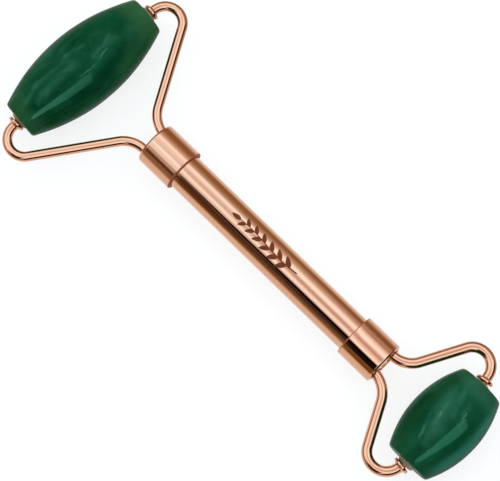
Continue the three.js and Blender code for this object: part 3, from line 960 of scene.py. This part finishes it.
# seen in reflections, the floor is white only on a band across Y and brown beyond it: painted dark reflection for the
# metal. Seen directly it is plain white, and it glows to stay white.
reflected_floor_shade = g.ramp(g.remap(sep.outputs[1], -0.15, 0.45), [
    (0.0, (0.33, 0.21, 0.12)), (0.11, (0.36, 0.24, 0.14)), (0.170, (0.49, 0.37, 0.27)), (0.205, (0.86, 0.84, 0.82)), (0.225, 1.0), (0.34, 1.0), (0.50, (0.72, 0.67, 0.60)), (0.80, (0.40, 0.28, 0.18)), (1.0, (0.34, 0.21, 0.12))])
white = g.mix(g.noise(g.mapping(g.add("ShaderNodeTexCoord").outputs["Object"], (3, 3, 3)), 1.0).outputs["Fac"], (0.985, 0.985, 0.985), (1.0, 1.0, 1.0))
seen = g.mix(g.add("ShaderNodeLightPath").outputs["Is Glossy Ray"], white, reflected_floor_shade)
g.put(p.inputs["Base Color"], g.mix(1.0, seen, (0.27, 0.26, 0.24), blend="MULTIPLY"))
g.put(p.inputs["Emission Color"], seen)
p.inputs["Emission Strength"].default_value = 0.785
me.materials.append(m)

# ------------------------------------------------------------------ light
world = bpy.data.worlds.new("studio")
scene.world = world
world.use_nodes = True
g = Graph(world.node_tree)
wout = g.add("ShaderNodeOutputWorld")
bg = g.add("ShaderNodeBackground")
cam_bg = g.add("ShaderNodeBackground")
cam_bg.inputs[0].default_value = (1, 1, 1, 1)
cam_bg.inputs[1].default_value = 1.0
mixer = g.add("ShaderNodeMixShader")
g.link(g.add("ShaderNodeLightPath").outputs["Is Camera Ray"], mixer.inputs[0])
g.link(bg.outputs[0], mixer.inputs[1])
g.link(cam_bg.outputs[0], mixer.inputs[2])
g.link(mixer.outputs[0], wout.inputs[0])
d = g.add("ShaderNodeTexCoord").outputs["Generated"]
sep = g.add("ShaderNodeSeparateXYZ")
g.link(d, sep.inputs[0])
dx, dy, dz = sep.outputs
theta = g.math("ARCTAN2", dy, dz)                      # 0 overhead, + towards +Y
T = g.remap(theta, -math.pi, math.pi)                  # 0..1


def at(deg):
    return (deg + 180.0) / 360.0


K = 3.0                                                # ramp colours are stored divided by K


def ramp_at(table):
    st = [(at(a), tuple(c / K for c in (col if isinstance(col, tuple) else (col,) * 3))) for a, col in table]
    return g.ramp(T, st)


HI = (1.7, 2.12, 2.60)                                 # overhead boxes, a little cool
MID = (1.30, 1.55, 1.80)
DIP = (0.83, 0.75, 0.79)
ROOM = (1.0, 1.0, 1.0)
BROWN = (0.34, 0.21, 0.11)                             # the dim room beyond the table
BLACK = (0.010, 0.005, 0.003)
# the ring of light overhead as mirrored along the handle: at its small end, middle, large end
ramp_s = ramp_at([
    (-180, BROWN), (-88, (0.32, 0.20, 0.11)), (-80, (0.36, 0.24, 0.13)), (-72, (0.56, 0.45, 0.37)), (-65, (0.70, 0.60, 0.54)), (-58, (0.62, 0.47, 0.40)), (-52, (0.76, 0.63, 0.62)),
    (-46, (1.06, 1.10, 1.25)), (-40, (1.3, 1.5, 1.9)), (-34, (1.5, 1.85, 2.2)), (-27, HI), (-21, HI), (-16, (1.36, 1.75, 2.15)), (-11, (1.12, 1.20, 1.45)), (-5, (0.88, 0.74, 0.86)), (1, (0.86, 0.70, 0.78)),
    (7, (1.2, 1.20, 1.40)), (13, (1.28, 1.42, 1.62)), (18, (1.45, 1.8, 2.0)), (24, HI), (29, (1.15, 1.45, 1.75)), (33, (0.62, 0.56, 0.60)), (37, (0.14, 0.09, 0.075)), (41, BLACK), (58, BLACK),
    (62, (0.03, 0.015, 0.005)), (68, (0.24, 0.17, 0.09)), (84, (0.26, 0.13, 0.02)), (94, (0.27, 0.14, 0.03)), (180, BROWN)])
ramp_a = ramp_at([
    (-180, BROWN), (-94, (0.31, 0.19, 0.09)), (-86, (0.40, 0.27, 0.155)), (-79, (0.49, 0.37, 0.25)), (-72, (0.60, 0.49, 0.40)), (-65, (0.75, 0.66, 0.60)),
    (-58, (0.85, 0.80, 0.80)), (-52, (0.99, 1.05, 1.16)), (-46, (1.2, 1.48, 1.75)), (-40, (1.4, 1.88, 2.3)), (-34, HI), (-28, HI), (-22, (1.35, 1.82, 2.3)), (-16, (1.08, 1.26, 1.48)), (-11, (0.87, 0.86, 0.94)), (-5, DIP),
    (1, (1.0, 1.04, 1.12)), (7, MID), (13, (1.42, 1.9, 2.3)), (18, HI), (24, (1.25, 1.58, 2.05)), (30, (0.68, 0.78, 1.0)), (34, (0.22, 0.16, 0.15)), (39, (0.12, 0.07, 0.04)), (52, (0.10, 0.06, 0.03)),
    (57, (0.10, 0.06, 0.03)), (62, (0.14, 0.11, 0.08)), (69, (0.20, 0.135, 0.09)), (77, (0.225, 0.135, 0.07)), (84, (0.34, 0.24, 0.155)), (92, (0.70, 0.65, 0.57)), (180, BROWN)])
ramp_b = ramp_at([
    (-180, BROWN), (-94, (0.43, 0.29, 0.16)), (-86, (0.41, 0.27, 0.15)), (-79, (0.41, 0.27, 0.15)), (-72, (0.48, 0.36, 0.24)), (-65, (0.58, 0.45, 0.33)),
    (-58, (0.70, 0.60, 0.50)), (-52, (0.85, 0.86, 0.88)), (-46, (1.05, 1.3, 1.45)), (-40, (1.5, 1.95, 2.4)), (-34, HI), (-28, (1.34, 1.8, 2.2)), (-22, (1.35, 1.68, 2.05)), (-11, (1.05, 1.10, 1.35)), (-5, (1.06, 1.18, 1.40)),
    (1, (1.08, 1.32, 1.5)), (7, (1.38, 1.98, 2.3)), (13, HI), (18, (1.4, 1.85, 2.25)), (24, (1.3, 1.66, 2.0)), (30, (0.93, 0.98, 1.15)), (35, (0.62, 0.58, 0.66)), (39, (0.52, 0.48, 0.53)), (44, (0.44, 0.40, 0.44)),
    (49, (0.16, 0.10, 0.075)), (55, (0.10, 0.055, 0.03)), (64, (0.12, 0.065, 0.04)), (76, (0.15, 0.085, 0.035)), (84, (0.23, 0.14, 0.055)), (92, (0.53, 0.45, 0.31)), (180, BROWN)])
ramp_c = ramp_at([
    (-180, BROWN), (-94, (0.41, 0.28, 0.165)), (-86, (0.39, 0.25, 0.12)), (-79, (0.36, 0.22, 0.11)), (-72, (0.47, 0.32, 0.19)), (-65, (0.58, 0.44, 0.34)),
    (-58, (0.72, 0.63, 0.56)), (-52, (0.86, 0.85, 0.85)), (-46, (1.06, 1.2, 1.30)), (-41, (1.5, 1.85, 2.2)), (-34, (1.6, 1.9, 2.3)), (-28, (1.34, 1.7, 2.0)), (-16, (1.28, 1.5, 1.9)), (-5, (1.1, 1.38, 1.62)),
    (1, (1.4, 2.0, 2.5)), (7, HI), (13, (1.40, 1.9, 2.45)), (21, (1.3, 1.62, 1.9)), (30, (1.27, 1.6, 1.95)), (34, (0.82, 0.88, 1.0)), (37, (0.72, 0.76, 0.87)), (43, (0.77, 0.78, 0.84)), (47, (0.62, 0.58, 0.62)),
    (51, (0.30, 0.20, 0.15)), (56, (0.14, 0.075, 0.035)), (62, (0.13, 0.06, 0.028)), (68, (0.32, 0.25, 0.20)), (84, (0.35, 0.26, 0.16)), (92, (0.68, 0.60, 0.50)), (180, BROWN)])
# the boxes have ragged, streaky ends
grain = g.noise(g.mapping(d, (14, 60, 60)), 1.0, 2.0, 0.5).outputs["Fac"]
dxs = g.math("MULTIPLY_ADD", g.math("SUBTRACT", grain, 0.5), 0.10, dx)
col = g.mix(g.remap(dx, 0.0950, 0.0985), ramp_s, ramp_a)
col = g.mix(g.remap(dxs, 0.132, 0.168, smooth=True), col, ramp_b)
col = g.mix(g.remap(dx, 0.1880, 0.1915), col, ramp_c)
deg = g.math("MULTIPLY", theta, 180.0 / math.pi)
comb = g.add("ShaderNodeCombineXYZ")
g.link(g.math("MULTIPLY", deg, 0.17), comb.inputs[0])
g.link(g.math("MULTIPLY", dx, 44.0), comb.inputs[1])
wavy = g.noise(comb.outputs[0], 1.0, 2.0, 0.5).outputs["Fac"]
wave1 = g.noise(g.vec("MULTIPLY", comb.outputs[0], (0.0, 1.0, 0.0)), 0.9, 2.0, 0.5).outputs["Fac"]
# a wavy light line with black above it and black lenses below it
line_at = g.math("ADD", g.remap(dx, 0.102, 0.190, 53.0, 43.0), g.math("MULTIPLY", g.math("SUBTRACT", wave1, 0.5), 10.0))
gap = g.math("SUBTRACT", deg, line_at)
upper = g.remap(g.math("SUBTRACT", deg, g.remap(dx, 0.120, 0.185, 32.0, 34.4)), 0.0, 1.6, smooth=True)
inside_band = g.remap(dx, 0.1915, 0.1880)
ink_a = g.math("MULTIPLY", upper, g.remap(gap, -0.4, -1.6, smooth=True))
lens = g.remap(g.math("ADD", wavy, g.remap(dx, 0.132, 0.145, 0.40, 0.0)), 0.41, 0.48, smooth=True)
ink_b = g.math("MULTIPLY", g.remap(gap, 0.6, 1.8, smooth=True), g.remap(gap, 9.5, 5.5, smooth=True))
ink_b = g.math("MULTIPLY", g.math("MULTIPLY", ink_b, lens), 0.92)
glint = g.math("MULTIPLY", g.remap(g.math("ABSOLUTE", gap), 1.5, 0.35, smooth=True), g.remap(wavy, 0.30, 0.55, 0.25, 0.85))
glint = g.math("MULTIPLY", glint, g.remap(dx, 0.0950, 0.0985, 0.12, 1.0))
col = g.mix(g.math("MULTIPLY", g.math("MAXIMUM", ink_a, ink_b), inside_band), col, tuple(c / K for c in BLACK))
col = g.mix(g.math("MULTIPLY", glint, inside_band), col, tuple(c / K for c in (0.46, 0.38, 0.30)))
# long faint streaks all round
comb2 = g.add("ShaderNodeCombineXYZ")
g.link(g.math("MULTIPLY", deg, 0.42), comb2.inputs[0])
g.link(g.math("MULTIPLY", dx, 16.0), comb2.inputs[1])
streaks = g.noise(comb2.outputs[0], 1.0, 3.0, 0.6).outputs["Fac"]
col = g.mix(1.0, col, g.remap(streaks, 0.25, 0.75, 0.80, 1.18), blend="MULTIPLY")
# away from that ring only the height above the table counts
height = g.ramp(g.remap(dz, -1.0, 1.0), [((h + 1) / 2, tuple(c / K for c in cc)) for h, cc in (
    (-1.0, BROWN), (-0.05, BROWN), (0.05, (0.30, 0.18, 0.10)), (0.22, (0.36, 0.24, 0.14)), (0.38, (0.60, 0.49, 0.42)), (0.52, (0.92, 0.94, 0.98)), (0.64, (1.30, 1.55, 1.75)), (0.78, HI), (0.90, (1.25, 1.5, 1.75)), (1.0, (1.0, 1.02, 1.1)))])
# towards -X stands a black flag
flag = g.math("MULTIPLY", g.remap(dz, 0.11, 0.17, smooth=True), g.remap(dz, 0.68, 0.60, smooth=True))
side_x = g.remap(dx, -0.42, -0.58, smooth=True)
height = g.mix(g.math("MULTIPLY", flag, side_x), height, tuple(c / K for c in (0.03, 0.014, 0.008)))
col = g.mix(g.remap(g.math("ABSOLUTE", dx), 0.26, 0.42, smooth=True), col, height)
g.link(col, bg.inputs[0])
bg.inputs[1].default_value = K


def area(name, pos, target, sx, sy, watts, colour=(1, 1, 1), glossy=True):
    li = bpy.data.lights.new(name, "AREA")
    li.shape = "RECTANGLE"
    li.size, li.size_y = sx, sy
    li.energy = watts
    li.color = colour
    ob = bpy.data.objects.new(name, li)
    scene.collection.objects.link(ob)
    ob.location = pos
    dirv = (Vector(target) - Vector(pos)).normalized()
    ob.rotation_euler = dirv.to_track_quat("-Z", "Y").to_euler()
    ob.visible_camera = False
    ob.visible_glossy = glossy
    return ob


def tapered(name, end, centre, long_axis, w0, w1, p0, p1, length, radiance, tint):
    """A tapered soft box that lights only one stone. Sizes in mm, frame of the drawing."""
    at_mm = Vector(centre) + Vector((HANDLE_X, 0, 0))
    st = STONE[end]
    target = Vector((st["x"] + HANDLE_X, st["y"], 0))
    z = (at_mm - target).normalized()
    y = Vector(long_axis)
    y = (y - z * y.dot(z)).normalized()
    x = y.cross(z)
    wide = 2 * max(w0, w1)
    li = bpy.data.lights.new(name, "AREA")
    li.shape = "RECTANGLE"
    li.size, li.size_y = wide * MM, length * MM
    li.energy = radiance * math.pi * wide * MM * length * MM
    li.color = tint
    li.use_nodes = True
    q = Graph(li.node_tree)
    out = q.add("ShaderNodeOutputLight")
    em = q.add("ShaderNodeEmission")
    q.link(em.outputs[0], out.inputs[0])
    sp = q.add("ShaderNodeSeparateXYZ")
    q.link(q.add("ShaderNodeNewGeometry").outputs["Parametric"], sp.inputs[0])
    u, v = sp.outputs[0], sp.outputs[1]
    px = q.math("MULTIPLY", q.math("SUBTRACT", u, 0.5), wide)
    half = q.remap(v, 0.0, 1.0, w0 / 2, w1 / 2)
    off = q.math("ABSOLUTE", px)
    inside_ = q.remap(q.math("SUBTRACT", off, half), 2.5, -2.5, smooth=True)
    q.link(q.math("MULTIPLY", inside_, q.remap(v, 0.0, 1.0, p0, p1)), em.inputs["Strength"])
    ob = bpy.data.objects.new(name, li)
    scene.collection.objects.link(ob)
    m4 = Matrix((x, y, z)).transposed().to_4x4()
    m4.translation = at_mm * MM
    ob.matrix_world = m4
    ob.visible_camera = False
    ob.visible_diffuse = False
    only = bpy.data.collections.new(name + "_receivers")
    only.objects.link(bpy.data.objects[f"{PREFIX[end]}_stone_fine"])
    ob.light_linking.receiver_collection = only
    return ob


# the long axis runs from the narrow end of the highlight to its blunt end
tapered("strip_large", 1, (-191, 159, 259), (-135, -296, 42), 95, 205, 1.8, 0.66, 329, 19.0, (0.96, 1.0, 0.98))
tapered("strip_small", -1, (-315, 97, 295), (-172, -497, 19), 80, 250, 1.1, 0.95, 526, 21.0, (0.96, 1.0, 0.98))

# ------------------------------------------------------------------ camera
T0 = Vector(((5.607 + HANDLE_X) * MM, 1.068 * MM, 0.0))
CX, CY, RHO, DIST = -0.1525, 0.080, 135.95, 0.650
back = Vector((CX, CY, math.sqrt(1 - CX * CX - CY * CY)))
X = Vector((1, 0, 0))
Xp = (X - back * X.dot(back)).normalized()
Yp = back.cross(Xp)
a = RHO * RAD
right = Xp * math.cos(a) - Yp * math.sin(a)
up = Xp * math.sin(a) + Yp * math.cos(a)
cam_data = bpy.data.cameras.new("camera")
cam_data.sensor_width = 36.0
cam_data.lens = 2542.2 / 500.0 * 36.0
cam_data.clip_start = 0.01
cam = bpy.data.objects.new("camera", cam_data)
scene.collection.objects.link(cam)
mat = Matrix((right, up, back)).transposed().to_4x4()
mat.translation = T0 + back * DIST
cam.matrix_world = mat
scene.camera = cam

scene.view_settings.view_transform = "Standard"
scene.view_settings.look = "None"
